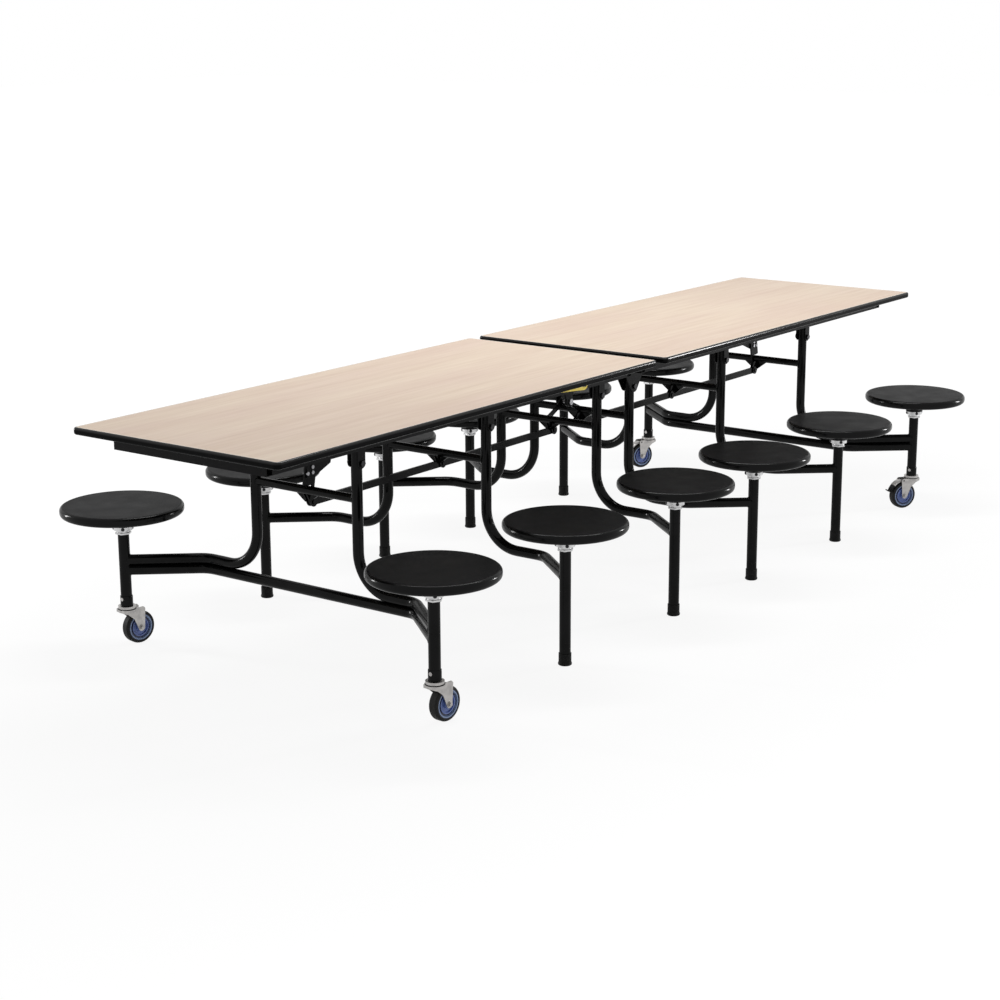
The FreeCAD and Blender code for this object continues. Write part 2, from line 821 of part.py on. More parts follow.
def caster_stem(post_x, y):
    """Plug in the post, upper raceway plate, kingpin with its nut, and the cross bolt's shank and heads."""
    plug_top = caster_height + stem_plug_length
    bolt_height = caster_height + stem_bolt_height
    nut_top = crown_bottom - running_gap
    profile = [
        (0, nut_top - kingpin_nut_height),
        (kingpin_nut_diameter / 2, nut_top - kingpin_nut_height),
        (kingpin_nut_diameter / 2, nut_top),
        (kingpin_diameter / 2, nut_top),
        (kingpin_diameter / 2, raceway_bottom),
        (raceway_diameter / 2, raceway_bottom),
        (raceway_diameter / 2, caster_height),
        (post_bore_radius - press_gap, caster_height),
        (post_bore_radius - press_gap, plug_top),
        (0, plug_top),
    ]
    stem = revolve(profile, (post_x, y))
    reach = post_radius + stem_bolt_head_height
    ends = [(post_x - reach, y, bolt_height), (post_x + reach, y, bolt_height)]
    bolt = rod(stem_bolt_diameter / 2 - press_gap, *ends)
    post = rod(post_radius, (post_x, y, caster_height), (post_x, y, plug_top))
    heads = []
    for end in ends:
        head = rod(stem_bolt_head / 2, (post_x, y, bolt_height), end)
        heads.append(head.cut(post))
    return fuse([stem, bolt] + heads)


def fork(braked):
    """Crown plate, two legs that taper to the axle, and the riveted axle."""
    leg_inner = fork_hub_width / 2 + fork_side_gap
    leg_outer = leg_inner + fork_plate
    crown_disc = rod(fork_crown_diameter / 2, (0, 0, crown_bottom), (0, 0, crown_top))
    bridge = box((-fork_leg_front, -leg_outer, crown_bottom), (fork_bridge_reach, leg_outer, crown_top))
    spots = [(x, crown_bottom - drop) for x, drop in fork_throat]
    spots += [
        (-fork_leg_front, crown_bottom),
        (-fork_leg_front, crown_top),
        (fork_shoulder, crown_top),
        (fork_leg_back, crown_top - fork_shoulder_drop),
    ]
    legs = []
    heads = []
    for y_side in (-1, 1):
        y_low, y_high = sorted((y_side * leg_inner, y_side * leg_outer))
        legs.append(eye_plate(spots, (caster_trail, wheel_radius), fork_eye_radius, y_low, y_high))
        y_low, y_high = sorted((y_side * leg_outer, y_side * (leg_outer + axle_head_thickness)))
        heads.append(across(axle_head_diameter / 2, caster_trail, wheel_radius, y_low, y_high))
    axle = across(axle_diameter / 2, caster_trail, wheel_radius, -leg_outer, leg_outer)
    holes = [rod(kingpin_diameter / 2 + pin_clearance, (0, 0, crown_bottom - 1), (0, 0, crown_top + 1))]
    if braked:
        pin_z = crown_top - brake_pin_drop
        radius = brake_pin_diameter / 2 + pin_clearance
        holes.append(across(radius, brake_pin_x, pin_z, -leg_outer - 1, leg_outer + 1))
    return fuse([crown_disc, bridge, axle] + legs + heads).cut(holes)


def turned_about_axle(profile):
    """Turns a list of (radius, sideways) points about the wheel's axle."""
    points = [Vector(caster_trail + r, s, wheel_radius) for r, s in profile]
    face = Part.Face(Part.makePolygon(points + points[:1]))
    return face.revolve(Vector(caster_trail, 0, wheel_radius), Vector(0, 1, 0), 360)


def wheel_core():
    steps = [
        (axle_diameter / 2 + pin_clearance, fork_hub_width / 2),
        (core_hub_diameter / 2, fork_hub_width / 2),
        (core_hub_diameter / 2, core_web_width / 2),
        (core_ring_inner / 2, core_web_width / 2),
        (core_ring_inner / 2, core_ring_width / 2),
        (core_ring_outer / 2, core_ring_width / 2),
        (core_ring_outer / 2, core_web_width / 2),
        (core_diameter / 2 - core_rim_depth, core_web_width / 2),
        (core_diameter / 2 - core_rim_depth, core_rim_width / 2),
        (core_diameter / 2, core_rim_width / 2),
    ]
    mirrored = [(r, -s) for r, s in reversed(steps)]
    return turned_about_axle(steps + mirrored)


def tyre():
    half = tyre_width / 2
    ring = turned_about_axle([
        (core_diameter / 2, -half),
        (wheel_radius, -half),
        (wheel_radius, half),
        (core_diameter / 2, half),
    ])
    circles = [e for e in ring.Edges if e.BoundBox.YLength < 0.1]
    rims = [e for e in circles if abs(e.BoundBox.XLength - wheel_diameter) < 0.1]
    return ring.makeFillet(tyre_shoulder, rims)


def brake_pedal():
    """Curved lever over the back of the tyre, with the pin that it turns on and a foot tab."""
    pin_z = crown_top - brake_pin_drop
    centre = (caster_trail, wheel_radius)
    middle_radius = math.hypot(brake_pin_x - centre[0], pin_z - centre[1])
    pin_angle = math.degrees(math.atan2(pin_z - centre[1], brake_pin_x - centre[0]))
    start = pin_angle + brake_lap_angle
    half = brake_thickness / 2

    def spot(radius, angle):
        turn = math.radians(angle)
        x = centre[0] + radius * math.cos(turn)
        z = centre[1] + radius * math.sin(turn)
        return Vector(x, -brake_width / 2, z)

    def arc_spots(radius, first, last):
        return [spot(radius, angle) for angle in (first, (first + last) / 2, last)]

    outer = arc_spots(middle_radius + half, start, brake_end_angle + brake_tab_angle)
    inner = arc_spots(middle_radius - half, brake_end_angle, start)
    tab_top = outer[-1] + Vector(brake_tab_length, 0, brake_tab_lift)
    tab_low = tab_top - Vector(0, 0, brake_thickness)
    corners = [outer[-1], tab_top, tab_low, spot(middle_radius + half, brake_end_angle), inner[0]]
    edges = [Part.LineSegment(a, b).toShape() for a, b in zip(corners, corners[1:])]
    edges.append(Part.Arc(*inner).toShape())
    edges.append(Part.LineSegment(inner[-1], outer[0]).toShape())
    edges.append(Part.Arc(*outer).toShape())
    lever = Part.Face(Part.Wire(edges)).extrude(Vector(0, brake_width, 0))
    reach = fork_hub_width / 2 + fork_side_gap + fork_plate
    pin = across(brake_pin_diameter / 2, brake_pin_x, pin_z, -reach, reach)
    return fuse([lever, pin])


def set_in_place(shape, corner, post_x, y):
    placed = shape.copy()
    placed.rotate(Vector(0, 0, 0), Vector(0, 0, 1), caster_turn[corner])
    placed.translate(Vector(post_x, y, 0))
    return placed


# All nodes, one file each

def build_nodes():
    nodes = {}
    for name, side in sides.items():
        nodes[name + "_top_board"] = [top_board(side)]
        nodes[name + "_edge_band"] = [edge_band(side)]
        nodes[name + "_under_frame"] = [under_frame(side)]
        nodes[name + "_leg_brackets"] = leg_brackets(side)
        nodes[name + "_stop_strut"] = [stop_strut(side)]
        nodes[name + "_bolts"] = pivot_bolts(side) + strut_bolts(side)
        nodes[name + "_link_bar"] = [link_bar(side)]
        for kind in frame_x:
            frame = name + "_" + kind
            nodes[frame + "_frame"] = [tube_frame(side, kind)]
            places = stool_places(side, kind)
            nodes[frame + "_spindles"] = [swivel_spindle(place) for place in places.values()]
            for row, place in places.items():
                nodes[frame + "_" + row + "_seat"] = [seat(place)]
            if kind != "end":
                nodes[frame + "_foot_caps"] = foot_caps(side, kind)
        places = stool_places(side, "end")
        nodes[name + "_caster_stems"] = [caster_stem(*place) for place in places.values()]
        for row, place in places.items():
            corner = name + "_" + row
            braked = side == braked_side
            nodes[corner + "_fork"] = [set_in_place(fork(braked), corner, *place)]
            nodes[corner + "_wheel_core"] = [set_in_place(wheel_core(), corner, *place)]
            nodes[corner + "_tyre"] = [set_in_place(tyre(), corner, *place)]
            if braked:
                nodes[corner + "_brake_pedal"] = [set_in_place(brake_pedal(), corner, *place)]
    nodes["hinge_pin"] = [hinge_pin()]
    nodes["latch_handle"] = [latch_handle(latch_side)]
    return nodes


def main():
    os.makedirs("parts", exist_ok=True)
    nodes = build_nodes()
    for name, solids in nodes.items():
        shape = solids[0] if len(solids) == 1 else Part.makeCompound(solids)
        shape.exportStep("parts/" + name + ".step")
        volume = sum(s.Volume for s in shape.Solids)
        state = "valid" if shape.isValid() else "NOT VALID"
        print(name, len(shape.Solids), "solids", round(volume), "mm3", state)
    print(len(nodes), "nodes")


main()
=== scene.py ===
"""Looks for a folding canteen table with swivel stools: finishes, small fittings, floor, light, camera."""
import json
import math

import bmesh
import bpy
from mathutils import Matrix, Vector


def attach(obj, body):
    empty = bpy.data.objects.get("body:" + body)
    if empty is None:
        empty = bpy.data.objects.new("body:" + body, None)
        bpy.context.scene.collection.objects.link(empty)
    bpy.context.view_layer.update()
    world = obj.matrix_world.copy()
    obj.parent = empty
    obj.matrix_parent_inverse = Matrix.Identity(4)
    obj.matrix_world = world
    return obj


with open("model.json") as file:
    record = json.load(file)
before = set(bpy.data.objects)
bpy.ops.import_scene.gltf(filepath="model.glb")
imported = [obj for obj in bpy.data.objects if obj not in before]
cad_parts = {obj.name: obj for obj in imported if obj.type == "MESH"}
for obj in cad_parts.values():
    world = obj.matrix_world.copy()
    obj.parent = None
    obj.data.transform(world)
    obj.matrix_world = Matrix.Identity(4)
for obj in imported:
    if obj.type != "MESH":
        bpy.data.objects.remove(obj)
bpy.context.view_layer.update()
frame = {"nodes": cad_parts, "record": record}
nodes = frame["nodes"]

# Sizes in metres, as in the part; the turns of the casters are in degrees

FRAME_X = {"end": 1.304, "middle": 0.700, "inner": 0.097}
STOOL_OFFSET = {"end": 0.160, "middle": 0.150, "inner": 0.150}
SIDES = {"left": -1, "right": 1}
ROWS = {"near": -1, "far": 1}
LEG_Y = 0.194
STOOL_Y = 0.591
TUBE_RADIUS = 0.016
POST_RADIUS = 0.017
CROSSBAR_RADIUS = 0.0125
CROSSBAR_Z = 0.535
ARM_Z = 0.266
TWIN_TUBE_Z = 0.235
ARM_ANGLE = math.radians(40)
SEAT_BOTTOM_Z = 0.410
SEAT_TOP_Z = 0.438
POST_TOP_Z = 0.348
RAIL_BOTTOM_Z = 0.700
RAIL_Y = 0.2705
TABLE_Z = 0.762
BOARD_INNER_X = 0.031
BOARD_OUTER_X = 1.822
BOARD_HALF_WIDTH = 0.374
CASTER_TURN = {"left_near": -4.5, "left_far": -10.0, "right_near": 148.0, "right_far": 155.0}
WHEEL_TRAIL = 0.037
WHEEL_RADIUS = 0.050
WHEEL_CORE_RADIUS = 0.041
FORK_OUTER_Y = 0.0192
AXLE_HEAD = 0.0026
CROWN_TOP_Z = 0.1147
RACEWAY_RADIUS = 0.0265
POST_BOTTOM_Z = 0.124
BRAKED_SIDE = "right"
BRAKE_OUTER_RADIUS = 0.0603
BRAKE_WIDTH = 0.024
FLANGE_RADIUS = 0.029
FLANGE_MIDDLE_Z = 0.3665

# Small fittings

WELD_BEAD = 0.0022
WELD_STEPS = 8
SCREW_RADIUS = 0.0055
SCREW_HEIGHT = 0.0028
SCREW_PROFILE = [(1, 0), (1, 0.35), (0.88, 0.75), (0.6, 1), (0.25, 1), (0.2, 0.5), (0, 0.5)]
SCREW_STEPS = 16
SEAT_PLATE_SIZE = 0.150
SEAT_PLATE_THICKNESS = 0.004
SEAT_PLATE_CORNER = 0.022
SEAT_PLATE_CHAMFER = 0.001
SEAT_PLATE_SCREW = 0.055
LOCK_NUT_FLATS = 0.043
LOCK_NUT_HEIGHT = 0.0055
NUT_CHAMFER = 0.15
FLANGE_SCREW_SINK = 0.0008
AXLE_NUT_FLATS = 0.010
AXLE_NUT_HEIGHT = 0.0036
SEAL_LAP = 0.0015
SEAL_PROFILE = [(0, 0), (0.0027, 0.0004), (0.0033, 0.0018), (0.0027, 0.0032), (0, 0.0036), (0, 0)]
SEAL_DROP = 0.0018
SLEEVE_RADIUS = 0.0189
SLEEVE_HEIGHT = 0.032
SLEEVE_LOWER_EDGE = (0.0006, 0.0008)
SLEEVE_UPPER_EDGE = (0.0008, 0.0020)
SLEEVE_CROWN = 0.0004
COVER_THICKNESS = 0.0012
COVER_START = 80.0
COVER_END = 44.0
COVER_STEPS = 12
COVER_OVERHANG = 0.0014
COVER_BEND = 0.001
COVER_LIP = 0.005
RAIL_SCREW_START = 0.19
RAIL_SCREW_PITCH = 0.21
RAIL_SCREW_COUNT = 8
ROUND_STEPS = 40
SMOOTH_ANGLE = math.radians(35)
MERGE_DISTANCE = 1e-6

# Where a finish starts to change on a piece and where the change is full, and values finishes share

# The first pair is a painted highlight: a pale line just inside the edge of the laminate's face, given as
# distances in from that edge
EDGE_HIGHLIGHT_LINE = (0.0045, 0.0035)
FACE_SHEET = (0.003, 0.001)
EDGE_GLOSS = (0.008, 0.003)
SEAT_FACE = (0.0016, 0.0002)
PAINTED_BOLTS_Y = (0.09, 0.10)
WORN_GLOSS = 0.6
DARK_SPECULAR = 0.02

# Floor, lamps and camera; each lamp has its place, target, size and power in watts

FLOOR_SIZE = 30.0
FLOOR_TONE = 0.90
FLOOR_WHITE = 0.90
FLOOR_FADE = (1.2, 2.6)
FLOOR_FAR_WHITE = 1.1
ROOM_LIGHT = 0.42
LAMPS = {
    "overhead_box": ((0.5, 0.2, 4.0), (0.3, 0, 0.6), (3.2, 0.5), 98),
    "left_strip": ((-2.6, 4.6, 1.3), (-0.4, 0, 0.4), (0.45, 1.7), 110),
    "right_strip": ((4.8, -3.2, 1.3), (0.2, 0, 0.4), (0.45, 1.7), 150),
}
CAMERA_PLACE = (-5.5283, -3.8183, 1.9198)
CAMERA_YAW = math.radians(36.498)
CAMERA_PITCH = math.radians(-14.053)
CAMERA_ROLL = math.radians(-0.264)
CAMERA_LENS = 73.36
CAMERA_SENSOR = 36.0
CAMERA_REACH = 100.0


def post_place(side, kind, row):
    x = SIDES[side] * (FRAME_X[kind] + STOOL_OFFSET[kind])
    return Vector((x, ROWS[row] * STOOL_Y, 0.0))


# Node helpers

def add_node(tree, kind, **settings):
    node = tree.nodes.new(kind)
    for name, value in settings.items():
        setattr(node, name, value)
    return node


def set_inputs(node, values):
    for name, value in values.items():
        node.inputs[name].default_value = value


def feed(tree, socket, value):
    """Links a socket to another one, or sets it to a plain value."""
    if isinstance(value, bpy.types.NodeSocket):
        tree.links.new(value, socket)
    else:
        socket.default_value = value


def object_place(tree):
    return add_node(tree, "ShaderNodeTexCoord").outputs["Object"]


def noise(tree, vector, scale, detail=4.0, roughness=0.5):
    node = add_node(tree, "ShaderNodeTexNoise")
    set_inputs(node, {"Detail": detail, "Roughness": roughness})
    feed(tree, node.inputs["Scale"], scale)
    tree.links.new(vector, node.inputs["Vector"])
    return node.outputs["Fac"]


def stretched(tree, vector, scale, location=(0, 0, 0), rotation=(0, 0, 0)):
    node = add_node(tree, "ShaderNodeMapping")
    set_inputs(node, {"Scale": scale, "Location": location, "Rotation": rotation})
    tree.links.new(vector, node.inputs["Vector"])
    return node.outputs["Vector"]


def spread(tree, value, low, high, new_low=0.0, new_high=1.0):
    """Maps low..high of a value to new_low..new_high."""
    node = add_node(tree, "ShaderNodeMapRange", clamp=True)
    set_inputs(node, {"From Min": low, "From Max": high, "To Min": new_low, "To Max": new_high})
    tree.links.new(value, node.inputs["Value"])
    return node.outputs["Result"]


def mix_colours(tree, factor, first, second):
    """Mixes two colours; each is a link or a plain colour."""
    node = add_node(tree, "ShaderNodeMix", data_type="RGBA")
    for index, value in ((0, factor), (6, first), (7, second)):
        feed(tree, node.inputs[index], value)
    return node.outputs[2]


def mix_values(tree, factor, first, second):
    node = add_node(tree, "ShaderNodeMix", data_type="FLOAT")
    for index, value in ((0, factor), (2, first), (3, second)):
        feed(tree, node.inputs[index], value)
    return node.outputs[0]


def maths(tree, operation, first, second=0.0):
    node = add_node(tree, "ShaderNodeMath", operation=operation)
    feed(tree, node.inputs[0], first)
    feed(tree, node.inputs[1], second)
    return node.outputs[0]


def separate(tree, vector):
    node = add_node(tree, "ShaderNodeSeparateXYZ")
    tree.links.new(vector, node.inputs[0])
    return node.outputs


def rgb(red, green, blue):
    return (red, green, blue, 1.0)


def grey(tone):
    return rgb(tone, tone, tone)


def start_group(name, inputs, outputs):
    group = bpy.data.node_groups.new(name, "ShaderNodeTree")
    for label, kind, default in inputs:
        socket = group.interface.new_socket(label, in_out="INPUT", socket_type=kind)
        socket.default_value = default
    for label, kind in outputs:
        group.interface.new_socket(label, in_out="OUTPUT", socket_type=kind)
    return group, group.nodes.new("NodeGroupInput"), group.nodes.new("NodeGroupOutput")


def scuff_group():
    """Faint handling marks: a colour with lighter scuffs, and a roughness that follows them."""
    inputs = [
        ("Colour", "NodeSocketColor", grey(0.02)),
        ("Scuff", "NodeSocketColor", grey(0.06)),
        ("Amount", "NodeSocketFloat", 0.3),
        ("Smooth", "NodeSocketFloat", 0.25),
        ("Dull", "NodeSocketFloat", 0.45),
    ]
    outputs = [("Colour", "NodeSocketColor"), ("Roughness", "NodeSocketFloat")]
    group, inside, out = start_group("handling_marks", inputs, outputs)
    place = object_place(group)
    broad = spread(group, noise(group, place, 9.0, 5.0, 0.6), 0.42, 0.75)
    scratches = noise(group, stretched(group, place, (160.0, 60.0, 160.0)), 1.0, 3.0, 0.6)
    mark = maths(group, "MULTIPLY", broad, spread(group, scratches, 0.5, 0.8))
    strength = maths(group, "MULTIPLY", mark, inside.outputs["Amount"])
    colour = mix_colours(group, strength, inside.outputs["Colour"], inside.outputs["Scuff"])
    group.links.new(colour, out.inputs["Colour"])
    roughness = mix_values(group, broad, inside.outputs["Smooth"], inside.outputs["Dull"])
    group.links.new(roughness, out.inputs["Roughness"])
    return group


def ripple_group():
    """The fine ripple of powder coat or moulded plastic, as a height."""
    inputs = [("Scale", "NodeSocketFloat", 500.0), ("Depth", "NodeSocketFloat", 1.0)]
    group, inside, out = start_group("surface_ripple", inputs, [("Height", "NodeSocketFloat")])
    ripple = noise(group, object_place(group), inside.outputs["Scale"], 2.0)
    height = maths(group, "MULTIPLY", ripple, inside.outputs["Depth"])
    group.links.new(height, out.inputs["Height"])
    return group


HANDLING_MARKS = scuff_group()
SURFACE_RIPPLE = ripple_group()


def start_material(name, **shader_values):
    material = bpy.data.materials.new(name)
    material.use_nodes = True
    tree = material.node_tree
    shader = tree.nodes["Principled BSDF"]
    for label, value in shader_values.items():
        shader.inputs[label.replace("_", " ")].default_value = value
    return material, tree, shader


def add_bump(tree, shader, height, strength, distance):
    bump = add_node(tree, "ShaderNodeBump")
    set_inputs(bump, {"Strength": strength, "Distance": distance})
    tree.links.new(height, bump.inputs["Height"])
    tree.links.new(bump.outputs["Normal"], shader.inputs["Normal"])


def add_ripple(tree, shader, scale, strength, distance):
    ripple = add_node(tree, "ShaderNodeGroup", node_tree=SURFACE_RIPPLE)
    set_inputs(ripple, {"Scale": scale, "Depth": 1.0})
    add_bump(tree, shader, ripple.outputs["Height"], strength, distance)


def add_marks(tree, shader, colour, scuff, amount, smooth, dull):
    marks = add_node(tree, "ShaderNodeGroup", node_tree=HANDLING_MARKS)
    set_inputs(marks, {"Colour": colour, "Scuff": scuff, "Amount": amount, "Smooth": smooth, "Dull": dull})
    tree.links.new(marks.outputs["Colour"], shader.inputs["Base Color"])
    tree.links.new(marks.outputs["Roughness"], shader.inputs["Roughness"])
    return marks.outputs["Roughness"]


# Finishes

def laminate():
    """Pale laminate: grain along the table, a painted highlight line round the face's edge, and a plain
    sheet below.
    """
    material, tree, shader = start_material("wood_grain_laminate", Specular_IOR_Level=0.35)
    place = object_place(tree)
    broad = spread(tree, noise(tree, stretched(tree, place, (0.9, 3.2, 1.0)), 1.6, 3.0), 0.35, 0.68)
    streak = noise(tree, stretched(tree, place, (1.1, 26.0, 1.0)), 2.0, 6.0, 0.62)
    streak = spread(tree, streak, 0.36, 0.70)
    pores = noise(tree, stretched(tree, place, (9.0, 420.0, 1.0)), 1.0, 3.0, 0.55)
    pores = spread(tree, pores, 0.50, 0.78)
    warm = mix_colours(tree, broad, rgb(0.645, 0.520, 0.395), rgb(0.600, 0.455, 0.358))
    grain = mix_colours(tree, maths(tree, "MULTIPLY", streak, 0.35), warm, rgb(0.480, 0.345, 0.258))
    face = mix_colours(tree, maths(tree, "MULTIPLY", pores, 0.20), grain, rgb(0.400, 0.280, 0.205))
    spot = separate(tree, place)
    from_middle = maths(tree, "ABSOLUTE", spot["X"])
    past_end = maths(tree, "SUBTRACT", from_middle, BOARD_OUTER_X)
    past_joint = maths(tree, "SUBTRACT", BOARD_INNER_X, from_middle)
    past_side = maths(tree, "SUBTRACT", maths(tree, "ABSOLUTE", spot["Y"]), BOARD_HALF_WIDTH)
    past_edge = maths(tree, "MAXIMUM", maths(tree, "MAXIMUM", past_end, past_joint), past_side)
    # Painted highlight: a paler line just inside the face's edge, standing in for the edge catching the
    # light
    line = spread(tree, past_edge, -EDGE_HIGHLIGHT_LINE[0], -EDGE_HIGHLIGHT_LINE[1])
    face = mix_colours(tree, maths(tree, "MULTIPLY", line, 0.8), face, rgb(0.720, 0.640, 0.530))
    upper = spread(tree, spot["Z"], TABLE_Z - FACE_SHEET[0], TABLE_Z - FACE_SHEET[1])
    backing = mix_colours(tree, pores, rgb(0.300, 0.255, 0.205), rgb(0.240, 0.200, 0.160))
    tree.links.new(mix_colours(tree, upper, backing, face), shader.inputs["Base Color"])
    tree.links.new(spread(tree, streak, 0.0, 1.0, 0.36, 0.46), shader.inputs["Roughness"])
    add_bump(tree, shader, pores, 0.08, 0.0004)
    return material


def powder_coat(name, base, smooth, dull, gloss, blur):
    """Black paint under a clear coat that fades where the paint is dull."""
    material, tree, shader = start_material(name, Specular_IOR_Level=DARK_SPECULAR, Coat_Roughness=blur)
    rough = add_marks(tree, shader, rgb(base, base, base * 1.05), grey(0.05), 0.25, smooth, dull)
    coat = spread(tree, rough, smooth, dull, gloss, gloss * WORN_GLOSS)
    tree.links.new(coat, shader.inputs["Coat Weight"])
    add_ripple(tree, shader, 420.0, 0.06, 0.0006)
    return material


def edge_plastic():
    """Black plastic, glossier on its upper rounding than below."""
    looks = {"Specular_IOR_Level": DARK_SPECULAR, "Coat_Roughness": 0.12}
    material, tree, shader = start_material("black_edge_band", **looks)
    add_marks(tree, shader, rgb(0.002, 0.002, 0.0022), grey(0.03), 0.25, 0.20, 0.34)
    height = separate(tree, object_place(tree))["Z"]
    coat = spread(tree, height, TABLE_Z - EDGE_GLOSS[0], TABLE_Z - EDGE_GLOSS[1], 0.04, 0.50)
    tree.links.new(coat, shader.inputs["Coat Weight"])
    add_ripple(tree, shader, 260.0, 0.04, 0.0005)
    return material


def seat_plastic():
    """Satin pebbled top inside a glossy rounded rim."""
    looks = {"Specular_IOR_Level": DARK_SPECULAR, "Coat_Roughness": 0.17}
    material, tree, shader = start_material("black_moulded_seat", **looks)
    place = object_place(tree)
    top = spread(tree, separate(tree, place)["Z"], SEAT_TOP_Z - SEAT_FACE[0], SEAT_TOP_Z - SEAT_FACE[1])
    cloud = noise(tree, place, 14.0)
    tone = mix_colours(tree, cloud, rgb(0.002, 0.002, 0.0022), rgb(0.005, 0.005, 0.0053))
    tree.links.new(mix_colours(tree, top, rgb(0.002, 0.002, 0.0022), tone), shader.inputs["Base Color"])
    satin = spread(tree, cloud, 0.3, 0.7, 0.40, 0.50)
    tree.links.new(mix_values(tree, top, 0.17, satin), shader.inputs["Roughness"])
    tree.links.new(spread(tree, top, 0.0, 1.0, 0.20, 0.045), shader.inputs["Coat Weight"])
    pebble = add_node(tree, "ShaderNodeTexVoronoi", feature="SMOOTH_F1")
    set_inputs(pebble, {"Scale": 700.0, "Smoothness": 0.6})
    tree.links.new(place, pebble.inputs["Vector"])
    add_bump(tree, shader, maths(tree, "MULTIPLY", pebble.outputs["Distance"], top), 0.12, 0.0004)
    return material


def blotches(tree, place):
    return spread(tree, noise(tree, place, 60.0), 0.35, 0.7)


def turned_steel(name, tone, smooth, dull, warmth=0.0):
    """Bright steel with fine marks round it."""
    material, tree, shader = start_material(name, Metallic=1.0)
    place = object_place(tree)
    rings = noise(tree, stretched(tree, place, (8.0, 8.0, 1400.0)), 1.0, 2.0)
    green = tone * (1 - warmth / 2)
    blue = tone * (1 - warmth)
    dark = rgb(tone * 0.72, green * 0.72, blue * 0.73)
    colour = mix_colours(tree, blotches(tree, place), rgb(tone, green, blue), dark)
    tree.links.new(colour, shader.inputs["Base Color"])
    tree.links.new(spread(tree, rings, 0.3, 0.7, smooth, dull), shader.inputs["Roughness"])
    add_bump(tree, shader, rings, 0.05, 0.0003)
    return material


def bolt_plating():
    """Bright plated bolts in the middle of the table, painted black ones toward its sides."""
    material, tree, shader = start_material("plated_bolts", Metallic=1.0)
    place = object_place(tree)
    blotch = blotches(tree, place)
    bright = mix_colours(tree, blotch, rgb(0.32, 0.32, 0.33), rgb(0.22, 0.22, 0.23))
    painted = mix_colours(tree, blotch, rgb(0.035, 0.035, 0.037), rgb(0.022, 0.022, 0.023))
    outward = spread(tree, maths(tree, "ABSOLUTE", separate(tree, place)["Y"]), *PAINTED_BOLTS_Y)
    tree.links.new(mix_colours(tree, outward, bright, painted), shader.inputs["Base Color"])
    tree.links.new(spread(tree, blotch, 0.0, 1.0, 0.34, 0.50), shader.inputs["Roughness"])
    add_ripple(tree, shader, 700.0, 0.05, 0.0004)
    return material


def rubber(name, base, rough):
    material, tree, shader = start_material(name, Specular_IOR_Level=0.05)
    add_marks(tree, shader, grey(base), rgb(0.09, 0.085, 0.08), 0.6, rough, rough + 0.15)
    add_ripple(tree, shader, 900.0, 0.15, 0.0004)
    return material


def painted_yellow():
    material, tree, shader = start_material("yellow_paint", Specular_IOR_Level=0.45)
    add_marks(tree, shader, rgb(0.95, 0.72, 0.03), rgb(0.70, 0.50, 0.06), 0.4, 0.28, 0.45)
    add_ripple(tree, shader, 420.0, 0.06, 0.0006)
    return material


def wheel_plastic(corner):
    """Blue moulded wheel with a paler ring about its own axle."""
    material, tree, shader = start_material("blue_wheel_" + corner, Specular_IOR_Level=0.45)
    side, row = corner.split("_")
    turn = math.radians(CASTER_TURN[corner])
    trail = Vector((WHEEL_TRAIL * math.cos(turn), WHEEL_TRAIL * math.sin(turn), WHEEL_RADIUS))
    centre = Matrix.Rotation(-turn, 3, "Z") @ (post_place(side, "end", row) + trail)
    spot = stretched(tree, object_place(tree), (1, 1, 1), location=-centre, rotation=(0, 0, -turn))
    parts = separate(tree, spot)
    squares = [maths(tree, "MULTIPLY", parts[axis], parts[axis]) for axis in ("X", "Z")]
    radius = maths(tree, "SQRT", maths(tree, "ADD", *squares))
    ramp = add_node(tree, "ShaderNodeValToRGB")
    ramp.color_ramp.interpolation = "CONSTANT"
    stops = (
        (0.0, rgb(0.102, 0.156, 0.400)),
        (0.70, rgb(0.005, 0.010, 0.061)),
        (0.84, rgb(0.223, 0.305, 0.485)),
        (0.95, rgb(0.020, 0.030, 0.080)),
    )
    while len(ramp.color_ramp.elements) < len(stops):
        ramp.color_ramp.elements.new(0.5)
    for element, (position, colour) in zip(ramp.color_ramp.elements, stops):
        element.position = position
        element.color = colour
    tree.links.new(maths(tree, "DIVIDE", radius, WHEEL_CORE_RADIUS), ramp.inputs["Fac"])
    dust = spread(tree, noise(tree, object_place(tree), 120.0), 0.5, 0.8)
    haze = maths(tree, "MULTIPLY", dust, 0.25)
    colour = mix_colours(tree, haze, ramp.outputs["Color"], rgb(0.20, 0.22, 0.26))
    tree.links.new(colour, shader.inputs["Base Color"])
    tree.links.new(spread(tree, dust, 0.0, 1.0, 0.26, 0.45), shader.inputs["Roughness"])
    add_ripple(tree, shader, 500.0, 0.04, 0.0005)
    return material


FINISHES = {
    "laminate": laminate(),
    "edge_black": edge_plastic(),
    "under_frame_black": powder_coat("black_powder_coat_rails", 0.006, 0.34, 0.50, 0.12, 0.26),
    "frame_black": powder_coat("black_powder_coat_tubes", 0.0015, 0.22, 0.36, 0.20, 0.08),
    "bar_black": powder_coat("black_powder_coat_bars", 0.005, 0.28, 0.42, 0.18, 0.20),
    "bolt_steel": bolt_plating(),
    "spindle_steel": turned_steel("bright_turned_steel", 0.62, 0.26, 0.40),
    "seat_black": seat_plastic(),
    "cap_rubber": rubber("black_foot_rubber", 0.014, 0.48),
    "caster_zinc": turned_steel("zinc_plate", 0.44, 0.30, 0.44, 0.06),
    "pedal_black": powder_coat("black_brake_lever", 0.006, 0.30, 0.45, 0.18, 0.22),
    "tyre_black": rubber("dark_tread_rubber", 0.026, 0.50),
    "latch_yellow": painted_yellow(),
}

for subpart in frame["record"]["subparts"]:
    name = subpart["node"]
    slot = subpart["material_slot"]
    if slot == "wheel_blue":
        finish = wheel_plastic(name.replace("_wheel_core", ""))
    else:
        finish = FINISHES[slot]
    materials = nodes[name].data.materials
    materials.clear()
    materials.append(finish)


# Mesh helpers

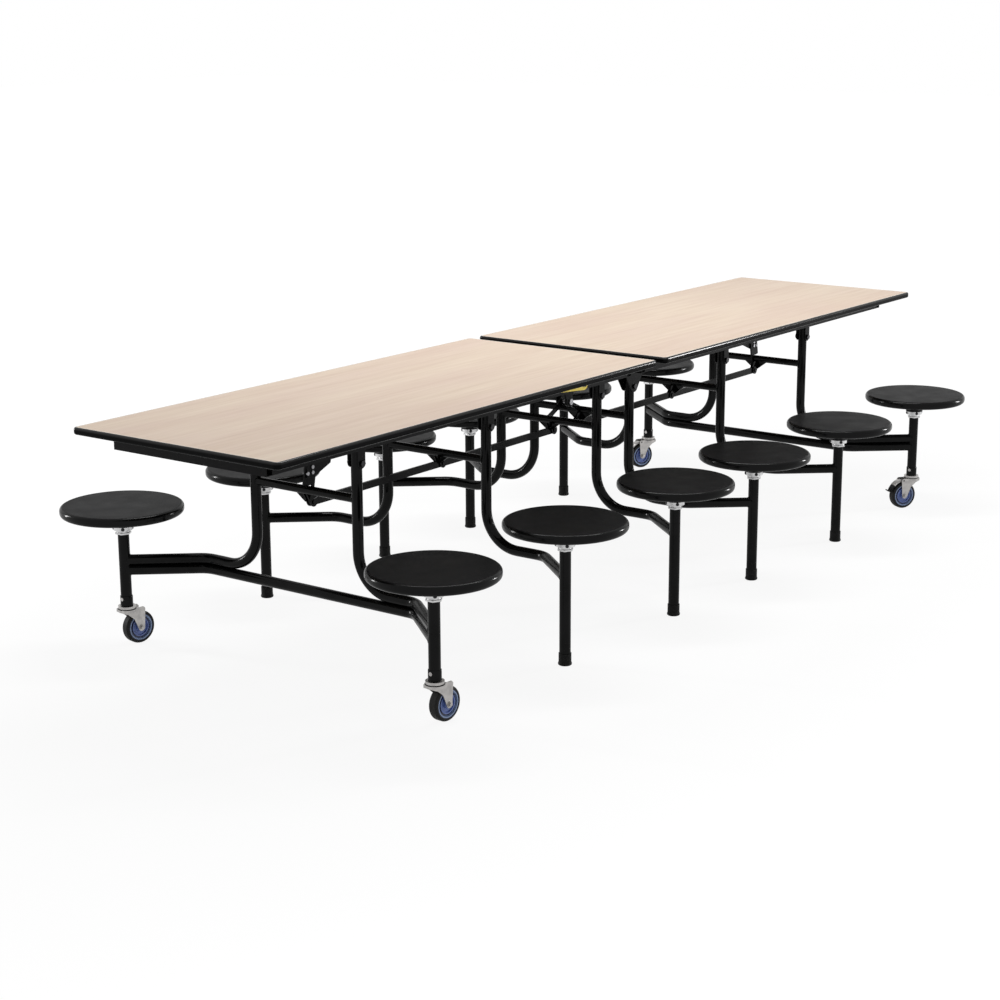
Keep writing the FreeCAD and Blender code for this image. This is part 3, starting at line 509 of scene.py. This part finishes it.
def new_piece(name, bm, body, slot):
    bmesh.ops.remove_doubles(bm, verts=bm.verts, dist=MERGE_DISTANCE)
    bmesh.ops.recalc_face_normals(bm, faces=bm.faces)
    mesh = bpy.data.meshes.new(name)
    bm.to_mesh(mesh)
    bm.free()
    mesh.shade_smooth()
    mesh.set_sharp_from_angle(angle=SMOOTH_ANGLE)
    mesh.materials.append(FINISHES[slot])
    piece = bpy.data.objects.new(name, mesh)
    bpy.context.scene.collection.objects.link(piece)
    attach(piece, body)


def frame_to(direction):
    """A turn that takes +Z to the direction."""
    return Vector((0, 0, 1)).rotation_difference(Vector(direction).normalized()).to_matrix().to_4x4()


def upside_down(spot):
    return Matrix.Translation(spot) @ Matrix.Rotation(math.pi, 4, "X")


def made_since(bm, before):
    return [v for v in bm.verts if v not in before]


def rounded_edges(bm, edges, offset, segments):
    bmesh.ops.bevel(bm, geom=edges, offset=offset, segments=segments, profile=0.5, affect="EDGES",
                    material=-1)


def turned(bm, profile, place, steps):
    """Spins a list of (radius, height) points about Z, then moves the result by the place matrix."""
    before = set(bm.verts)
    verts = [bm.verts.new((radius, 0.0, height)) for radius, height in profile]
    edges = [bm.edges.new(pair) for pair in zip(verts, verts[1:])]
    bmesh.ops.spin(bm, geom=verts + edges, cent=(0, 0, 0), axis=(0, 0, 1), angle=math.tau,
                   steps=steps, use_merge=True, use_duplicate=False)
    bmesh.ops.transform(bm, matrix=place, verts=made_since(bm, before))


def hexagon_nut(bm, flats, height, place):
    """A hexagon with chamfered rims, standing on Z, moved by the place matrix."""
    before = set(bm.verts)
    corner = flats / math.sqrt(3)
    bmesh.ops.create_cone(bm, cap_ends=True, segments=6, radius1=corner, radius2=corner, depth=height)
    made = made_since(bm, before)
    bmesh.ops.translate(bm, vec=(0, 0, height / 2), verts=made)
    edges = {e for v in made for e in v.link_edges}
    rims = [e for e in edges if abs(e.verts[0].co.z - e.verts[1].co.z) < MERGE_DISTANCE]
    rounded_edges(bm, rims, height * NUT_CHAMFER, 2)
    bmesh.ops.transform(bm, matrix=place, verts=made_since(bm, before))


def screw_head(bm, place):
    """A pan head with a rounded crown and a round recess."""
    profile = [(SCREW_RADIUS * radius, SCREW_HEIGHT * height) for radius, height in SCREW_PROFILE]
    turned(bm, profile, place, SCREW_STEPS)


# Weld beads where the tubes meet

def bead_ring(bm, ring_radius, place, saddle_radius):
    """A weld bead round a tube along Z, where the tube's end meets a round post that lies along X."""
    before = set(bm.verts)
    circle = bmesh.ops.create_circle(bm, cap_ends=False, segments=WELD_STEPS, radius=WELD_BEAD)["verts"]
    stand = Matrix.Translation((ring_radius, 0, 0)) @ Matrix.Rotation(math.pi / 2, 4, "X")
    bmesh.ops.transform(bm, matrix=stand, verts=circle)
    edges = list({e for v in circle for e in v.link_edges})
    bmesh.ops.spin(bm, geom=circle + edges, cent=(0, 0, 0), axis=(0, 0, 1), angle=math.tau,
                   steps=ROUND_STEPS, use_merge=True, use_duplicate=False)
    ring = made_since(bm, before)
    for vert in ring:
        across = max(-ring_radius, min(ring_radius, vert.co.y))
        vert.co.z += math.sqrt(saddle_radius ** 2 - across ** 2)
    bmesh.ops.transform(bm, matrix=place, verts=ring)


def frame_welds(side, kind):
    name = side + "_" + kind
    bm = bmesh.new()
    x = SIDES[side] * FRAME_X[kind]
    upward = Vector((0, 0, 1))
    arm_heights = (ARM_Z, TWIN_TUBE_Z) if kind == "end" else (ARM_Z,)
    for row, sign in ROWS.items():
        toward_middle = Matrix.Translation((x, sign * LEG_Y, CROSSBAR_Z)) @ frame_to((0, -sign, 0))
        bead_ring(bm, CROSSBAR_RADIUS, toward_middle @ Matrix.Rotation(math.pi / 2, 4, "Z"), TUBE_RADIUS)
        post = post_place(side, kind, row)
        heading = Vector((-SIDES[side] * math.sin(ARM_ANGLE), -sign * math.cos(ARM_ANGLE), 0))
        axes = Matrix((upward, heading.cross(upward), heading)).transposed().to_4x4()
        for height in arm_heights:
            bead_ring(bm, TUBE_RADIUS, Matrix.Translation((post.x, post.y, height)) @ axes, POST_RADIUS)
    new_piece(name + "_welds", bm, name, "frame_black")


# Fittings under each seat

def seat_plate(name, post):
    bm = bmesh.new()
    plate = bmesh.ops.create_cube(bm, size=1.0)["verts"]
    bmesh.ops.scale(bm, vec=(SEAT_PLATE_SIZE, SEAT_PLATE_SIZE, SEAT_PLATE_THICKNESS), verts=plate)
    middle = (post.x, post.y, SEAT_BOTTOM_Z - SEAT_PLATE_THICKNESS / 2)
    bmesh.ops.translate(bm, vec=middle, verts=plate)
    corners = [e for e in bm.edges if abs(e.verts[0].co.z - e.verts[1].co.z) > SEAT_PLATE_THICKNESS / 2]
    rounded_edges(bm, corners, SEAT_PLATE_CORNER, 6)
    low = SEAT_BOTTOM_Z - SEAT_PLATE_THICKNESS * 0.9
    rims = [e for e in bm.edges if all(v.co.z < low for v in e.verts)]
    rounded_edges(bm, rims, SEAT_PLATE_CHAMFER, 2)
    new_piece(name + "_seat_plate", bm, name + "_stool", "spindle_steel")


def seat_screws(name, post):
    bm = bmesh.new()
    z = SEAT_BOTTOM_Z - SEAT_PLATE_THICKNESS
    for x in (post.x - SEAT_PLATE_SCREW, post.x + SEAT_PLATE_SCREW):
        for y in (post.y - SEAT_PLATE_SCREW, post.y + SEAT_PLATE_SCREW):
            screw_head(bm, upside_down((x, y, z)))
    new_piece(name + "_seat_screws", bm, name + "_stool", "bolt_steel")


def flange_screws(name, post, body):
    bm = bmesh.new()
    middle = Vector((post.x, post.y, FLANGE_MIDDLE_Z))
    for quarter in range(4):
        turn = math.radians(45 + 90 * quarter)
        outward = Vector((math.cos(turn), math.sin(turn), 0))
        spot = middle + outward * (FLANGE_RADIUS - FLANGE_SCREW_SINK)
        screw_head(bm, Matrix.Translation(spot) @ frame_to(outward))
    new_piece(name + "_flange_screws", bm, body, "bolt_steel")


def seat_fittings(side, kind, row):
    name = "_".join((side, kind, row))
    body = side + "_" + kind
    post = post_place(side, kind, row)
    seat_plate(name, post)
    seat_screws(name, post)
    bm = bmesh.new()
    hexagon_nut(bm, LOCK_NUT_FLATS, LOCK_NUT_HEIGHT, Matrix.Translation((post.x, post.y, POST_TOP_Z)))
    new_piece(name + "_lock_nut", bm, body, "spindle_steel")
    flange_screws(name, post, body)


# Caster details

def brake_cover(corner, place):
    """A bent sheet over the top of the brake lever, with its two long edges turned down."""
    bm = bmesh.new()
    half = BRAKE_WIDTH / 2
    rise = BRAKE_OUTER_RADIUS + COVER_THICKNESS
    edge = half + COVER_OVERHANG
    lip = [(edge, rise - COVER_LIP), (edge, rise - COVER_BEND), (half, rise)]
    section = [(-sideways, radius) for sideways, radius in lip] + lip[::-1]
    start = math.radians(COVER_START)
    verts = []
    for sideways, radius in section:
        x = WHEEL_TRAIL + radius * math.cos(start)
        z = WHEEL_RADIUS + radius * math.sin(start)
        verts.append(bm.verts.new((x, sideways, z)))
    edges = [bm.edges.new(pair) for pair in zip(verts, verts[1:])]
    bmesh.ops.spin(bm, geom=verts + edges, cent=(WHEEL_TRAIL, 0, WHEEL_RADIUS), axis=(0, 1, 0),
                   angle=math.radians(COVER_START - COVER_END), steps=COVER_STEPS, use_duplicate=False)
    bmesh.ops.recalc_face_normals(bm, faces=bm.faces)
    bmesh.ops.solidify(bm, geom=bm.faces, thickness=COVER_THICKNESS)
    bmesh.ops.transform(bm, matrix=place, verts=bm.verts)
    new_piece(corner + "_brake_cover", bm, corner + "_brake", "caster_zinc")


def axle_nuts(corner, place):
    bm = bmesh.new()
    for sign in (-1, 1):
        spot = Matrix.Translation((WHEEL_TRAIL, sign * (FORK_OUTER_Y + AXLE_HEAD), WHEEL_RADIUS))
        hexagon_nut(bm, AXLE_NUT_FLATS, AXLE_NUT_HEIGHT, place @ (spot @ frame_to((0, sign, 0))))
    new_piece(corner + "_axle_nuts", bm, corner + "_caster", "caster_zinc")


def bearing_seal(corner, place, body):
    bm = bmesh.new()
    bead = [(RACEWAY_RADIUS - SEAL_LAP + out, height) for out, height in SEAL_PROFILE]
    turned(bm, bead, place @ Matrix.Translation((0, 0, CROWN_TOP_Z - SEAL_DROP)), ROUND_STEPS)
    new_piece(corner + "_bearing_seal", bm, body, "cap_rubber")


def post_sleeve(corner, post, body):
    bm = bmesh.new()
    wall = [
        (POST_RADIUS, 0.0),
        (SLEEVE_RADIUS - SLEEVE_LOWER_EDGE[0], 0.0),
        (SLEEVE_RADIUS, SLEEVE_LOWER_EDGE[1]),
        (SLEEVE_RADIUS, SLEEVE_HEIGHT - SLEEVE_UPPER_EDGE[1]),
        (SLEEVE_RADIUS - SLEEVE_UPPER_EDGE[0], SLEEVE_HEIGHT - SLEEVE_CROWN),
        (POST_RADIUS, SLEEVE_HEIGHT),
        (POST_RADIUS, 0.0),
    ]
    turned(bm, wall, Matrix.Translation((post.x, post.y, POST_BOTTOM_Z)), ROUND_STEPS)
    new_piece(corner + "_post_sleeve", bm, body, "frame_black")


def caster_details(corner):
    side, row = corner.split("_")
    body = side + "_end"
    post = post_place(side, "end", row)
    place = Matrix.Translation(post) @ Matrix.Rotation(math.radians(CASTER_TURN[corner]), 4, "Z")
    axle_nuts(corner, place)
    bearing_seal(corner, place, body)
    post_sleeve(corner, post, body)
    if side == BRAKED_SIDE:
        brake_cover(corner, place)


# Screws that hold the rails to the tops

def rail_screws(side):
    bm = bmesh.new()
    for y in (-RAIL_Y, RAIL_Y):
        for step in range(RAIL_SCREW_COUNT):
            x = SIDES[side] * (RAIL_SCREW_START + RAIL_SCREW_PITCH * step)
            screw_head(bm, upside_down((x, y, RAIL_BOTTOM_Z)))
    new_piece(side + "_rail_screws", bm, side + "_table", "bolt_steel")


for side in SIDES:
    for kind in FRAME_X:
        frame_welds(side, kind)
        for row in ROWS:
            seat_fittings(side, kind, row)
    rail_screws(side)
for corner in CASTER_TURN:
    caster_details(corner)


# Floor, world and lamps

def white_for_viewers(tree, plain, white, surface):
    """Shows the white shader to rays from the camera, reflections or glass, and the plain one to light."""
    path = add_node(tree, "ShaderNodeLightPath")
    seen = maths(tree, "MAXIMUM", path.outputs["Is Camera Ray"], path.outputs["Is Glossy Ray"])
    seen = maths(tree, "MAXIMUM", seen, path.outputs["Is Transmission Ray"])
    mix = add_node(tree, "ShaderNodeMixShader")
    tree.links.new(seen, mix.inputs[0])
    tree.links.new(plain, mix.inputs[1])
    tree.links.new(white, mix.inputs[2])
    tree.links.new(mix.outputs[0], surface)


def make_floor():
    """A floor that shows faint shadows near the table and turns pure white away from it."""
    bm = bmesh.new()
    bmesh.ops.create_grid(bm, x_segments=1, y_segments=1, size=FLOOR_SIZE)
    mesh = bpy.data.meshes.new("floor")
    bm.to_mesh(mesh)
    bm.free()
    floor = bpy.data.objects.new("floor", mesh)
    bpy.context.scene.collection.objects.link(floor)
    material = bpy.data.materials.new("pale_floor")
    material.use_nodes = True
    tree = material.node_tree
    tree.nodes.remove(tree.nodes["Principled BSDF"])
    plain = add_node(tree, "ShaderNodeBsdfDiffuse")
    set_inputs(plain, {"Color": grey(FLOOR_TONE)})
    white = add_node(tree, "ShaderNodeEmission")
    set_inputs(white, {"Strength": 1.0})
    far = add_node(tree, "ShaderNodeVectorMath", operation="LENGTH")
    tree.links.new(stretched(tree, object_place(tree), (0.5, 1.0, 1.0)), far.inputs[0])
    fade = spread(tree, far.outputs["Value"], *FLOOR_FADE, 1.0, FLOOR_FAR_WHITE)
    tree.links.new(fade, white.inputs["Color"])
    soft = add_node(tree, "ShaderNodeMixShader")
    soft.inputs[0].default_value = FLOOR_WHITE
    tree.links.new(plain.outputs[0], soft.inputs[1])
    tree.links.new(white.outputs[0], soft.inputs[2])
    surface = tree.nodes["Material Output"].inputs["Surface"]
    white_for_viewers(tree, plain.outputs[0], soft.outputs[0], surface)
    mesh.materials.append(material)


def make_world():
    world = bpy.data.worlds.new("studio")
    world.use_nodes = True
    tree = world.node_tree
    plain = tree.nodes["Background"]
    set_inputs(plain, {"Color": grey(1.0), "Strength": ROOM_LIGHT})
    white = add_node(tree, "ShaderNodeBackground")
    set_inputs(white, {"Color": grey(1.0), "Strength": 1.0})
    surface = tree.nodes["World Output"].inputs["Surface"]
    white_for_viewers(tree, plain.outputs[0], white.outputs[0], surface)
    bpy.context.scene.world = world


def add_lamp(name, place, target, size, power):
    lamp = bpy.data.lights.new(name, "AREA")
    lamp.shape = "RECTANGLE"
    lamp.size, lamp.size_y = size
    lamp.energy = power
    holder = bpy.data.objects.new(name, lamp)
    bpy.context.scene.collection.objects.link(holder)
    holder.location = place
    holder.rotation_euler = (Vector(target) - Vector(place)).to_track_quat("-Z", "Y").to_euler()


def make_camera():
    """The photograph's viewpoint."""
    data = bpy.data.cameras.new("camera")
    data.sensor_fit = "HORIZONTAL"
    data.sensor_width = CAMERA_SENSOR
    data.lens = CAMERA_LENS
    data.clip_end = CAMERA_REACH
    holder = bpy.data.objects.new("camera", data)
    bpy.context.scene.collection.objects.link(holder)
    level = math.cos(CAMERA_PITCH)
    forward = Vector((level * math.cos(CAMERA_YAW), level * math.sin(CAMERA_YAW), math.sin(CAMERA_PITCH)))
    right = forward.cross(Vector((0, 0, 1))).normalized()
    up = right.cross(forward)
    turned_right = right * math.cos(CAMERA_ROLL) + up * math.sin(CAMERA_ROLL)
    turned_up = up * math.cos(CAMERA_ROLL) - right * math.sin(CAMERA_ROLL)
    axes = Matrix((turned_right, turned_up, -forward)).transposed().to_4x4()
    holder.matrix_world = Matrix.Translation(CAMERA_PLACE) @ axes
    bpy.context.scene.camera = holder


make_floor()
make_world()
for name, settings in LAMPS.items():
    add_lamp(name, *settings)
make_camera()
bpy.context.scene.view_settings.view_transform = "Standard"
